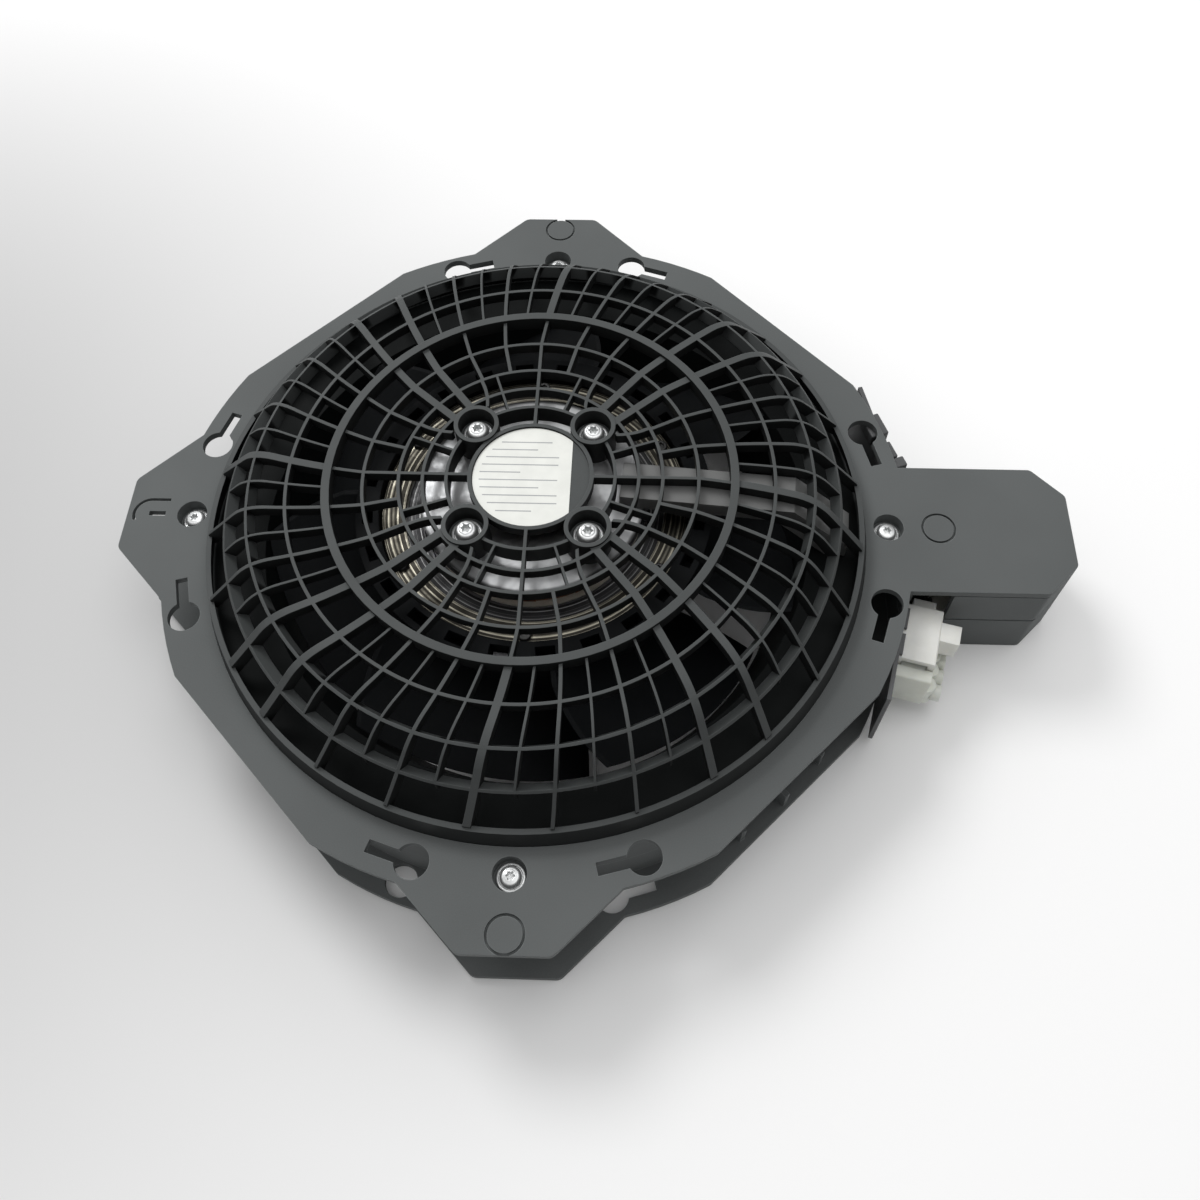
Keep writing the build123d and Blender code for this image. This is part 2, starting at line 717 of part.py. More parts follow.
def preload_spring():
    """Conical spring between the lower bearing and the tube's shoulder."""
    low = bearing_lower_z + bearing_width
    high = low + preload_gap
    inner = tube_shoulder_bore + spring_leaf / 2
    outer = bearing_outside - spring_leaf / 4
    return revolved([(inner, low), (inner + spring_leaf, low), (outer, high), (outer - spring_leaf, high)])


def shaft():
    groove_z = bearing_upper_z + bearing_width
    radius = bearing_bore - shaft_fit
    body = rod(radius, can_bottom, groove_z + shaft_end)
    return body - tube(radius + 1, radius - groove_depth, groove_z, groove_z + ring_thick + 0.1)


def retaining_ring():
    low = bearing_upper_z + bearing_width
    inner = bearing_bore - shaft_fit - groove_depth + slip_fit
    ring = tube(bearing_bore + ring_stand, inner, low, low + ring_thick)
    half_gap = ring_mouth / 2
    return ring - block((0, bearing_outside), (-half_gap, half_gap), (low - 1, low + ring_thick + 1))


def rotor_can():
    hole = bearing_bore
    rim_top = can_rim_z + can_rim_thick
    points = [(hole, can_bottom), (can_radius, can_bottom), (can_radius, can_rim_z),
              (can_rim_radius, can_rim_z), (can_rim_radius, rim_top), (can_inside, rim_top),
              (can_inside, can_bottom + can_floor), (can_boss, can_bottom + can_floor),
              (can_boss, bearing_lower_z - can_nose), (bearing_bore + can_nose_wall, bearing_lower_z),
              (hole, bearing_lower_z)]
    holes = [upright(impeller_screw + screw_clearance, can_rim_z - 1, hub_top, impeller_screw_circle, turn)
             for turn in impeller_screw_turns()]
    return revolved(points) - holes


def rotor_core():
    return tube(can_inside - slip_fit, core_bore, core_bottom, core_top)


def rotor_cage():
    """End rings of the rotor's squirrel cage."""
    outer = can_inside - slip_fit
    inner = outer - cage_ring_wall
    return [tube(outer, inner, core_top, core_top + cage_ring_height),
            tube(outer, inner, core_bottom - cage_ring_height, core_bottom)]


def impeller_screw_turns():
    return [360 * (i + 0.5) / impeller_screw_count for i in range(impeller_screw_count)]


def impeller_screws():
    screw = pan_screw(impeller_screw, impeller_screw_length, impeller_screw_head, impeller_screw_head_height)
    return around(Pos(impeller_screw_circle, 0, can_rim_z + can_rim_thick) * screw, impeller_screw_turns())


def pocket_turns():
    return [360 * (i + 0.5) / pocket_count for i in range(pocket_count)]


def blade_section(radius, ahead, behind, high, camber):
    """A cambered strip across one radius. Its foot runs ahead of its head, so that it lifts the air."""
    plane = Plane(origin=(radius, 0, 0), x_dir=(0, 1, 0), z_dir=(1, 0, 0))
    half = blade_thick / 2
    low = blade_foot
    middle = ((ahead - behind) / 2 - camber, (low + high) / 2)
    front = ThreePointArc((ahead - half, low), (middle[0] - half, middle[1]), (-behind - half, high))
    back = ThreePointArc((ahead + half, low), (middle[0] + half, middle[1]), (-behind + half, high))
    face = make_face([front, back, Line(front @ 0, back @ 0), Line(front @ 1, back @ 1)])
    return plane * face


def impeller_blades():
    root = hub_bottom_radius - blade_root_inset
    tip = outlet_radius + blade_tip_outset
    sections = [blade_section(root, *blade_root), blade_section((root + tip) / 2, *blade_middle),
                blade_section(tip, *blade_tip)]
    blade = loft(sections)
    foot_z = throat_z - 3
    envelope = revolved([(hub_radius(foot_z) - hub_skin, foot_z), (throat_radius - tip_play, foot_z + 1.5),
                         (outlet_radius - tip_play, module_depth + 0.5), (hub_top_radius - 1, hub_top - 2),
                         (hub_radius(hub_top - 2) - hub_skin, hub_top - 2)])
    return around(blade & envelope, [360 * i / blade_count for i in range(blade_count)])


def impeller():
    bore = can_radius + slip_fit
    step_radius = can_rim_radius + rim_seat_play
    eye = bearing_bore + hub_eye_play
    hub = revolved([(eye, hub_bottom), (hub_bottom_radius, hub_bottom), (hub_top_radius, hub_top),
                    (step_radius, hub_top), (step_radius, can_rim_z), (bore, can_rim_z),
                    (bore, can_bottom), (eye, can_bottom)])
    along, across, deep = pocket_size
    pocket = block((pocket_circle - across / 2, pocket_circle + across / 2), (-along / 2, along / 2),
                   (hub_top - deep, hub_top + 1))
    body = hub + impeller_blades()
    depth = can_rim_z + can_rim_thick - impeller_screw_length - 1
    holes = [upright(impeller_screw + slip_fit, depth, can_rim_z + 1, impeller_screw_circle, turn)
             for turn in impeller_screw_turns()]
    return body - around(pocket, pocket_turns()) - holes


def balance_clips():
    along, across, high = clip_size
    floor = hub_top - pocket_size[2]
    radii = (pocket_circle - across / 2, pocket_circle + across / 2)
    clip = block(radii, (-along / 2, along / 2), (floor, floor + high))
    turns = pocket_turns()
    return around(clip, [turns[i] for i in clip_pockets])


def duct_profile(points):
    """A solid across the duct's full width from corners given along and above it."""
    face = Plane.XZ * make_face(Polyline(*points, close=True))
    return Pos(0, duct_width / 2, 0) * extrude(face, duct_width)


def duct_top_corners():
    top = motor_face + duct_height
    return (duct_start, top), (duct_bend, top), (duct_foot[1], module_depth + duct_foot_height)


def cable_duct():
    top_start, top_bend, top_foot = duct_top_corners()
    lower_bend = duct_bend - duct_height
    outer = duct_profile([(duct_start, motor_face), (lower_bend, motor_face), (duct_foot[0], guard_seat_z),
                          (duct_foot[1], guard_seat_z), top_foot, top_bend, top_start])
    far = duct_foot[1] + 10
    high = top_bend[1] + 10
    low = module_depth - 1
    inside = make_face(Polyline((duct_start + duct_wall, motor_face + duct_wall),
                                (lower_bend + duct_wall / 2, motor_face + duct_wall),
                                (duct_foot[0] + 1.3 * duct_wall, low), (far, low), (far, high),
                                (duct_start + duct_wall, high), close=True))
    width = duct_width - 2 * duct_wall
    hollow = Pos(0, width / 2, 0) * extrude(Plane.XZ * inside, width)
    way_in = rod(lead_hole, motor_face - 1, motor_face + duct_wall + 1, lead_exit, lead_middle)
    return duct_frame() * (outer - hollow - way_in)


def duct_lid():
    top_start, top_bend, top_foot = duct_top_corners()
    lean = math.atan2(top_bend[1] - top_foot[1], top_foot[0] - top_bend[0])
    shift = (duct_cover * math.sin(lean), duct_cover * math.cos(lean))
    raised_foot = (top_foot[0] + shift[0], top_foot[1] + shift[1])
    raised_bend = (top_bend[0] + duct_cover * math.tan(lean / 2), top_bend[1] + duct_cover)
    raised_start = (top_start[0], top_start[1] + duct_cover)
    top = [top_start, top_bend, top_foot]
    return duct_frame() * duct_profile(top + [raised_foot, raised_bend, raised_start])


def leads_along(routes, bends):
    """Round leads, each along straight runs joined by arcs."""
    leads = []
    for points in routes:
        path = FilletPolyline(*points, radius=bends)
        section = Plane(origin=path @ 0, z_dir=path % 0) * Circle(lead_radius)
        leads.append(sweep(section, path=path))
    return leads


def motor_leads():
    """Three leads from the windings through the duct to the terminal block."""
    start_z = core_top + liner + end_turns
    run_z = motor_face + duct_wall + lead_radius + 1.3
    drop_x = (duct_foot[0] + duct_foot[1]) / 2 + 0.3
    block_top = plate + block_size[2]
    routes = []
    for i in (-1, 0, 1):
        y = lead_middle + i * lead_pitch
        x = lead_exit
        end_x = block_centre[0] - 6
        end_y = y + lead_drift
        in_duct = [(x, y, start_z), (x, y, run_z), (duct_bend - 3.5, y, run_z), (drop_x, y, module_depth + 3)]
        in_box = [(drop_x, y, lead_level), (end_x, end_y, lead_level), (end_x, end_y, block_top)]
        routes.append(in_duct + in_box)
    return [duct_frame() * lead for lead in leads_along(routes, [4.0, 8.0, 6.0, 5.0, 5.0])]


def supply_leads():
    """Three leads from the connector's socket down to the terminal block."""
    middle_y = (socket_inner_y + socket_outer_y) / 2
    middle_z = sum(socket_z) / 2
    over = socket_neck + 5.0
    routes = []
    for i in (-1, 0, 1):
        y = middle_y + i * lead_pitch
        routes.append([(-socket_neck, y, middle_z), (-over, y, middle_z), (-over, y, plate + block_size[2])])
    return [socket_frame() * lead for lead in leads_along(routes, [3.0])]


def run_capacitor():
    """The motor's run capacitor, lying on the floor of the terminal box."""
    seat = plate
    can = fillet(Cylinder(capacitor_radius, capacitor_length).edges(), 1.5)
    axis_z = seat + capacitor_radius
    body = Pos(capacitor_start + capacitor_length / 2, capacitor_y, axis_z) * Rot(0, 90, 0) * can
    half_tab = tab_size[0] / 2
    half_thick = tab_size[1] / 2
    tabs = []
    for side in (-1, 1):
        y = capacitor_y + side * tab_offset
        tabs.append(block((capacitor_start - tab_reach, capacitor_start + 1), (y - half_tab, y + half_tab),
                          (axis_z - half_thick, axis_z + half_thick)))
    return body + tabs


def terminal_block():
    long, wide, high = block_size
    x, y = block_centre
    body = block((x - long / 2, x + long / 2), (y - wide / 2, y + wide / 2), (plate, plate + high))
    pitch = long / block_ways
    top = plate + high
    cuts = []
    for i in range(block_ways):
        at = x + (i - (block_ways - 1) / 2) * pitch
        cuts.append(rod(block_screw_well, top - block_well_depth, top + 1, at, y + wide / 6))
    return body - cuts


def socket_frame(side=1):
    """The connector's frame, or its mirror place on the other side of the box."""
    x, y = socket_origin
    return Pos(x, side * y, 0) * Rot(0, 0, side * socket_turn)


def connector_socket():
    low, high = socket_z
    body = block((0, socket_length), (socket_inner_y, socket_outer_y), socket_z)
    body = fillet(body.edges().filter_by(Axis.X), 0.8)
    neck = block((-socket_neck, 1), (socket_inner_y + 3, socket_outer_y - 3), (low + 2, high - 2))
    ear_start, ear_end, ear_reach = socket_ear
    ear = block((ear_start, ear_end), (socket_outer_y - 1, ear_reach), (low + 3, high - 0.5))
    across = (socket_inner_y + mouth_wall, socket_outer_y - mouth_wall)
    heights = (low + mouth_wall, high - mouth_wall)
    mouth = block((socket_length - mouth_depth, socket_length + 1), across, heights)
    holes = pin_rods(pin_radius + slip_fit, socket_length - mouth_depth - pin_seat, socket_length)
    return socket_frame() * (body + neck + ear - mouth - holes)


def pin_rods(radius, start, end):
    middle_y = (socket_inner_y + socket_outer_y) / 2
    middle_z = sum(socket_z) / 2
    pins = []
    for i in (-1, 0, 1):
        pin = Rot(0, 90, 0) * rod(radius, 0, end - start)
        pins.append(Pos(start, middle_y + i * pin_pitch, middle_z) * pin)
    return pins


def contact_pins():
    start = socket_length - mouth_depth - pin_seat
    return [socket_frame() * pin for pin in pin_rods(pin_radius, start, start + pin_reach)]


def plug_funnels():
    """Centres of the plug's three cable entries along its outer side."""
    start = socket_length - plug_shelf + funnel_radius
    end = socket_length + plug_length - funnel_radius - 1
    return [start, (start + end) / 2, end]


def connector_plug():
    low, high = plug_z
    inner = socket_inner_y + mouth_wall + plug_play
    outer = socket_outer_y - mouth_wall - plug_play
    nose = block((socket_length - plug_nose, socket_length + 2), (inner, outer),
                 (socket_z[0] + mouth_wall + plug_play, high - plug_nose_step))
    end = socket_length + plug_length
    shelf_top = socket_z[0] - plug_play
    across = (socket_inner_y + 1, socket_outer_y)
    body = block((socket_length + plug_play, end), across, (low, high))
    shelf = block((socket_length - plug_shelf, end), across, (low, shelf_top))
    body = fillet((body + shelf).edges().filter_by(Axis.Y), 0.8)
    rounds = [rod(plug_scallop, low, shelf_top, x, plug_outer_y - plug_scallop) for x in plug_funnels()]
    body = body + rounds
    funnel = Rot(-90, 0, 0) * rod(funnel_radius, 0, funnel_reach + 1)
    bore = Rot(-90, 0, 0) * rod(funnel_bore, 0, funnel_depth + funnel_reach + 1)
    for x in plug_funnels():
        body = body + Pos(x, plug_outer_y - 1, funnel_z) * funnel
        body = body - Pos(x, plug_outer_y - funnel_depth, funnel_z) * bore
        body = body - rod(clamp_radius + slip_fit, low - 1, low + clamp_length, x, clamp_y)
    body = body + nose
    holes = pin_rods(pin_radius + pin_play, socket_length - plug_nose - 1, socket_length + 2)
    return socket_frame() * (body - holes)


def clamp_screws():
    low = plug_z[0]
    screws = []
    for x in plug_funnels():
        screw = rod(clamp_radius, low + clamp_recess, low + clamp_length, x, clamp_y)
        long, wide, deep = clamp_slot
        slot = block((x - long / 2, x + long / 2), (clamp_y - wide / 2, clamp_y + wide / 2),
                     (low, low + clamp_recess + deep))
        screws.append(socket_frame() * (screw - slot))
    return screws


def holder(side):
    """Strip with snap hooks between the flanges. Side is 1 for the connector's and -1 for the spare one."""
    low, high = socket_z
    inner = socket_inner_y - holder_gap
    strip = block((holder_start, holder_length), (inner - holder_wall, inner), (plate, plate_under))
    reach = (inner - 1, inner + hook_reach)
    hooks = []
    for start in hook_starts:
        under = high + holder_gap
        hooks.append(block((start, start + hook_width), reach, (under, under + hook_thick)))
    top = low - holder_gap
    hooks.append(block((hook_starts[0], hook_starts[0] + rest_width), reach, (top - hook_thick, top)))
    body = strip + hooks
    if side == -1:
        body = mirror(body, about=Plane.XZ)
    return socket_frame(side) * body


PARTS = {
    "upper_housing": upper_housing,
    "lower_housing": lower_housing,
    "outlet_guard": outlet_guard,
    "rating_label": rating_label,
    "joint_screws": joint_screws,
    "joint_washers": joint_washers,
    "motor_screws": motor_screws,
    "motor_washers": motor_washers,
    "motor_flange": motor_flange_tube,
    "stator_core": stator_core,
    "slot_liners": slot_liners,
    "windings": windings,
    "preload_spring": preload_spring,
    "shaft": shaft,
    "retaining_ring": retaining_ring,
    "rotor_can": rotor_can,
    "rotor_core": rotor_core,
    "rotor_cage": rotor_cage,
    "impeller": impeller,
    "impeller_screws": impeller_screws,
    "balance_clips": balance_clips,
    "cable_duct": cable_duct,
    "duct_lid": duct_lid,
    "motor_leads": motor_leads,
    "supply_leads": supply_leads,
    "run_capacitor": run_capacitor,
    "terminal_block": terminal_block,
    "connector_socket": connector_socket,
    "contact_pins": contact_pins,
    "connector_plug": connector_plug,
    "clamp_screws": clamp_screws,
    "connector_holder": lambda: holder(1),
    "spare_holder": lambda: holder(-1),
}


def write(name, shape):
    solids = shape if isinstance(shape, list) else [shape]
    export_step(Compound(children=[s for shape in solids for s in shape.solids()]), f"parts/{name}.step")


if __name__ == "__main__":
    os.makedirs("parts", exist_ok=True)
    for name, make in PARTS.items():
        write(name, make())
    for name, shape in bearing_parts().items():
        write(name, shape)
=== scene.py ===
import json
import math

import bmesh
import bpy
from mathutils import Matrix, Vector

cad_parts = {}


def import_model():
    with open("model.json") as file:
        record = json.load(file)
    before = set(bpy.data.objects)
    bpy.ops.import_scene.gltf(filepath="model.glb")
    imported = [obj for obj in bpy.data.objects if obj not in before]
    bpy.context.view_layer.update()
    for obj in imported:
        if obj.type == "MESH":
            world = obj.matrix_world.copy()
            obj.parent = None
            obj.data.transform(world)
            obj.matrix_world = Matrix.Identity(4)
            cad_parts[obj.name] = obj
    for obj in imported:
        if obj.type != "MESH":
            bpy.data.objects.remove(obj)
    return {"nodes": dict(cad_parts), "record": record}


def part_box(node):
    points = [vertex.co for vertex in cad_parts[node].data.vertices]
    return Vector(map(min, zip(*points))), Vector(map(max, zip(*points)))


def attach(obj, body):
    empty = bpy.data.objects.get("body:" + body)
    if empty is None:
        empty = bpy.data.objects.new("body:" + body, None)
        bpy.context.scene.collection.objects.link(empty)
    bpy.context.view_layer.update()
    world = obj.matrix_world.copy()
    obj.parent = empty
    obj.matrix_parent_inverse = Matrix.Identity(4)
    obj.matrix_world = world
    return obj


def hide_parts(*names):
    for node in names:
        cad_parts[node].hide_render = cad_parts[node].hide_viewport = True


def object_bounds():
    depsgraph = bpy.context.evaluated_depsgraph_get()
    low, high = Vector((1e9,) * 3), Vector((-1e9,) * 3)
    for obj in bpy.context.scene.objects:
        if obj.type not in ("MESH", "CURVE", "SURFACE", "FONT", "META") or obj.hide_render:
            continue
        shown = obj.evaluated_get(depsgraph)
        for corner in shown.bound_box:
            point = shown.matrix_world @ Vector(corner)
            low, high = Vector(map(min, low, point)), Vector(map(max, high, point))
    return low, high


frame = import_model()
cad_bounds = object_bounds()
scene = bpy.context.scene

# Camera, at the photograph's viewing angle
IMAGE_PIXELS = 1200
FOCAL_PIXELS = 1140.4
AXIS_PIXELS = (621.9, 537.6)        # where the lens axis meets the image
SENSOR = 36.0                       # millimetres
AZIMUTH = math.radians(3.147)
ELEVATION = math.radians(59.873)
ROLL = math.radians(-1.594)
DISTANCE = 0.4367
AIM = Vector((0.0329, -0.0069, 0.045))

# Sizes that the details share with the solids, in metres
LABEL_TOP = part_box("rating_label")[1].z
LABEL_RADIUS = -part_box("rating_label")[0].x
LABEL_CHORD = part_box("rating_label")[1].x
MOTOR_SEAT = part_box("motor_washers")[1].z
JOINT_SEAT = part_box("joint_washers")[1].z
BOSS_CIRCLE = 0.0307
JOINT_CIRCLE = 0.135


def link(obj):
    scene.collection.objects.link(obj)
    return obj


def mesh_object(name, mesh_maker):
    """A new object whose mesh the given function fills."""
    mesh = bpy.data.meshes.new(name)
    shape = bmesh.new()
    mesh_maker(shape)
    bmesh.ops.recalc_face_normals(shape, faces=shape.faces)
    shape.to_mesh(mesh)
    shape.free()
    return link(bpy.data.objects.new(name, mesh))


# Materials

MOULDED_EDGE = 0.0004               # radius of the rounded look of moulded edges
EDGE_TURN = (0.80, 0.995)           # bevel normal against face normal: full edge, no edge
STEEP = (0.15, 0.85)                # upward part of a normal: steep face, level face
INSIDE_BLEND = 0.0012
SHEET_PITCH = 0.0005
WIRE_PITCH = 0.0007
GLINT_BANDS = (0.54, 0.66)         # noise values between the dark ground and the painted glint rings


class Shader:
    """A material under construction: its nodes, its links and the Principled shader."""

    def __init__(self, name):
        self.material = bpy.data.materials.new(name)
        self.material.use_nodes = True
        self.nodes = self.material.node_tree.nodes
        self.links = self.material.node_tree.links
        self.surface = self.nodes["Principled BSDF"]
        self.coordinates = self.nodes.new("ShaderNodeTexCoord").outputs["Object"]

    def add(self, kind, inputs=None, **settings):
        """A new node with its settings, constants and links."""
        node = self.nodes.new(kind)
        for key, value in settings.items():
            setattr(node, key, value)
        for key, value in (inputs or {}).items():
            if isinstance(value, bpy.types.NodeSocket):
                self.links.new(value, node.inputs[key])
            else:
                node.inputs[key].default_value = value
        return node

    def noise(self, scale, detail=3.0, where=None):
        inputs = {"Vector": where or self.coordinates, "Scale": scale, "Detail": detail}
        return self.add("ShaderNodeTexNoise", inputs).outputs["Fac"]

    def spread(self, value, low, high, start=0.3, end=0.7):
        """Maps a noise value to a range."""
        inputs = {"Value": value, "From Min": start, "From Max": end, "To Min": low, "To Max": high}
        return self.add("ShaderNodeMapRange", inputs).outputs["Result"]

    def math(self, operation, first, second=0.0):
        return self.add("ShaderNodeMath", {0: first, 1: second}, operation=operation).outputs["Value"]

    def mix(self, factor, first, second):
        node = self.add("ShaderNodeMix", data_type="RGBA")
        colour_inputs = [s for s in node.inputs if s.type == "RGBA"]
        pairs = ((node.inputs["Factor"], factor), (colour_inputs[0], first), (colour_inputs[1], second))
        for socket, value in pairs:
            if isinstance(value, bpy.types.NodeSocket):
                self.links.new(value, socket)
            else:
                socket.default_value = value
        return [s for s in node.outputs if s.type == "RGBA"][0]

    def set(self, **values):
        """Constants on the Principled shader's own sockets."""
        for key, value in values.items():
            self.surface.inputs[key.replace("_", " ")].default_value = value

    def connect(self, output, key):
        self.links.new(output, self.surface.inputs[key])

    def edges(self, radius):
        """The rounded normal, and a mask that is 1 along edges and 0 on faces."""
        bevel = self.add("ShaderNodeBevel", {"Radius": radius}, samples=6)
        flat = self.add("ShaderNodeNewGeometry").outputs["Normal"]
        dot = self.add("ShaderNodeVectorMath", {0: bevel.outputs["Normal"], 1: flat}, operation="DOT_PRODUCT")
        mask = self.spread(dot.outputs["Value"], 1.0, 0.0, *EDGE_TURN)
        return bevel.outputs["Normal"], mask

    def from_axis(self):
        """Distance from the fan's axis."""
        parts = self.add("ShaderNodeSeparateXYZ", {"Vector": self.coordinates})
        across = self.math("MULTIPLY", parts.outputs["X"], parts.outputs["X"])
        along = self.math("MULTIPLY", parts.outputs["Y"], parts.outputs["Y"])
        return self.math("SQRT", self.math("ADD", across, along))

    def bump(self, height, strength, distance, normal=None):
        inputs = {"Height": height, "Strength": strength, "Distance": distance}
        if normal is not None:
            inputs["Normal"] = normal
        self.connect(self.add("ShaderNodeBump", inputs).outputs["Normal"], "Normal")


def tint(colour, factor):
    return tuple(min(1.0, channel * factor) for channel in colour[:3]) + (1.0,)


def moulded(name, colour, roughness, grain, edge=1.5, gloss=0.5, sides=1.0, inside=None):
    """Injection-moulded plastic: faint flow shading, a fine spark-eroded grain and painted highlights along
    the edges.

    Edges carry a painted highlight, lighter by the factor edge, and steep faces a painted shade, darker by
    the factor sides. Nearer to the fan's axis than inside, the colour is a painted shade of dull black.
    """
    shader = Shader(name)
    flow = shader.spread(shader.noise(18.0, 4.0), 0.0, 1.0)
    speckle = shader.spread(shader.noise(2600.0, 2.0), 0.0, 1.0)
    base = shader.mix(flow, tint(colour, 0.90), tint(colour, 1.08))
    base = shader.mix(shader.math("MULTIPLY", speckle, 0.35), base, tint(colour, 1.30))
    normal, mask = shader.edges(MOULDED_EDGE)
    # Painted highlight: edges lighter, broken up by noise.
    edge_highlight = shader.math("MULTIPLY", mask, shader.spread(shader.noise(140.0, 3.0), 0.35, 1.0))
    base = shader.mix(edge_highlight, base, tint(colour, edge))
    # Painted shade: steep faces darker than level ones.
    if sides < 1.0:
        facing = shader.add("ShaderNodeNewGeometry").outputs["Normal"]
        rise = shader.add("ShaderNodeSeparateXYZ", {"Vector": facing}).outputs["Z"]
        base = shader.mix(shader.spread(rise, 1.0, 0.0, *STEEP), base, tint(colour, sides))
    # Painted shade: dull black nearer the axis, inside the guard's foot.
    if inside:
        near = shader.spread(shader.from_axis(), 1.0, 0.0, inside - INSIDE_BLEND, inside)
        base = shader.mix(near, base, TUNNEL_SHADE_BLACK)
    shader.connect(base, "Base Color")
    shine = shader.spread(shader.noise(60.0, 4.0), roughness - 0.05, roughness + 0.06)
    shader.connect(shine, "Roughness")
    shader.set(Specular_IOR_Level=gloss)
    shader.bump(shader.noise(3200.0, 2.0), 0.35, grain, normal)
    return shader.material


def bright_metal(name, colour, roughness):
    """Plated or polished metal with faint cloudiness and fine scratches."""
    shader = Shader(name)
    cloud = shader.spread(shader.noise(350.0, 5.0), 0.0, 1.0)
    shader.connect(shader.mix(cloud, tint(colour, 0.86), tint(colour, 1.06)), "Base Color")
    shader.connect(shader.spread(shader.noise(900.0, 4.0), roughness - 0.07, roughness + 0.09), "Roughness")
    shader.set(Metallic=0.8)
    inputs = {"Vector": shader.coordinates, "Scale": (4000.0, 500.0, 900.0)}
    stretched = shader.add("ShaderNodeMapping", inputs)
    scratches = shader.noise(1.0, 2.0, stretched.outputs["Vector"])
    normal, _ = shader.edges(0.0002)
    shader.bump(scratches, 0.15, 0.00001, normal)
    return shader.material


def turned_metal(name, colour, roughness, pitch, dark_from=None, glint_rings=None):
    """Metal faced on a lathe: fine rings round the fan's axis over a cast or pressed ground.

    Past a given radius it is darker, at 0.16 of its colour. A given ring colour paints glints as bright rings
    in a dark ground.
    """
    shader = Shader(name)
    ring = shader.math("SINE", shader.math("MULTIPLY", shader.from_axis(), 2 * math.pi / pitch))
    cloud = shader.spread(shader.noise(120.0, 5.0), 0.0, 1.0)
    base = shader.mix(cloud, tint(colour, 0.80), tint(colour, 1.08))
    # Darker past a given radius, at 0.16 of the colour.
    if dark_from:
        far = shader.spread(shader.from_axis(), 0.0, 1.0, dark_from, dark_from + 0.001)
        base = shader.mix(far, base, tint(colour, 0.16))
    # Painted glints: bright rings in a dark ground.
    if glint_rings:
        inputs = {"W": shader.from_axis(), "Scale": 700.0, "Detail": 4.0, "Roughness": 0.6}
        bands = shader.add("ShaderNodeTexNoise", inputs, noise_dimensions="1D").outputs["Fac"]
        base = shader.mix(shader.spread(bands, 0.0, 1.0, *GLINT_BANDS), base, glint_rings)
    shader.connect(base, "Base Color")
    shader.connect(shader.spread(shader.noise(500.0, 3.0), roughness - 0.08, roughness + 0.10), "Roughness")
    shader.set(Metallic=1.0)
    normal, _ = shader.edges(0.0003)
    height = shader.math("ADD", shader.math("MULTIPLY", ring, 0.3), shader.noise(1500.0, 3.0))
    shader.bump(height, 0.4, 0.00002, normal)
    return shader.material


def laminated_steel():
    """Stacked electrical sheet: fine level lines."""
    shader = Shader("core_steel")
    parts = shader.add("ShaderNodeSeparateXYZ", {"Vector": shader.coordinates})
    sheets = shader.math("SINE", shader.math("MULTIPLY", parts.outputs["Z"], 2 * math.pi / SHEET_PITCH))
    level = shader.spread(sheets, 0.0, 1.0, -1.0, 1.0)
    shader.connect(shader.mix(level, (0.10, 0.10, 0.11, 1), (0.34, 0.34, 0.35, 1)), "Base Color")
    shader.connect(shader.spread(shader.noise(400.0), 0.38, 0.55), "Roughness")
    shader.set(Metallic=0.9)
    shader.bump(sheets, 0.5, 0.00004)
    return shader.material


def wound_copper():
    """Varnished copper turns that run round the axis."""
    shader = Shader("copper")
    ring = shader.math("SINE", shader.math("MULTIPLY", shader.from_axis(), 2 * math.pi / WIRE_PITCH))
    turns = shader.math("ABSOLUTE", shader.math("ADD", ring, shader.spread(shader.noise(300.0), -0.6, 0.6)))
    # Painted shade and highlight: darker between the turns, lighter on their crests.
    level = shader.spread(turns, 0.0, 1.0, 0.0, 1.2)
    shader.connect(shader.mix(level, (0.16, 0.05, 0.02, 1), (0.62, 0.26, 0.10, 1)), "Base Color")
    shader.set(Metallic=0.55, Roughness=0.32, Coat_Weight=0.5)
    shader.bump(turns, 0.8, 0.0002)
    return shader.material


def nylon(name, colour, haze, roughness):
    """Natural nylon: milky, a little see-through in thin walls, with a soft sheen."""
    shader = Shader(name)
    milk = shader.spread(shader.noise(90.0, 4.0), 0.0, 1.0)
    normal, mask = shader.edges(0.0005)
    base = shader.mix(milk, tint(colour, 0.90), tint(colour, 1.05))
    # Painted highlight: edges lighter.
    shader.connect(shader.mix(shader.math("MULTIPLY", mask, 0.6), base, tint(colour, 1.25)), "Base Color")
    shader.connect(shader.spread(shader.noise(300.0), roughness - 0.05, roughness + 0.08), "Roughness")
    shader.set(Subsurface_Weight=haze, Subsurface_Scale=0.004, Subsurface_Radius=(1.0, 0.95, 0.8))
    shader.set(Specular_IOR_Level=0.5)
    shader.bump(shader.noise(900.0, 3.0), 0.25, 0.00003, normal)
    return shader.material


def film(name, colour, roughness):
    """Printed film: flat, with a faint fibre and a little dirt."""
    shader = Shader(name)
    dirt = shader.spread(shader.noise(160.0, 5.0), 0.0, 1.0, 0.35, 0.65)
    shader.connect(shader.mix(dirt, tint(colour, 0.95), tint(colour, 1.02)), "Base Color")
    shader.connect(shader.spread(shader.noise(600.0), roughness - 0.06, roughness + 0.06), "Roughness")
    shader.bump(shader.noise(2500.0, 2.0), 0.15, 0.00001)
    return shader.material


# Painted shade: the dull black of the housing inside the guard's foot.
TUNNEL_SHADE_BLACK = (0.006, 0.007, 0.007, 1.0)
TUNNEL_SHADE_START = 0.1244                # just inside the guard's foot

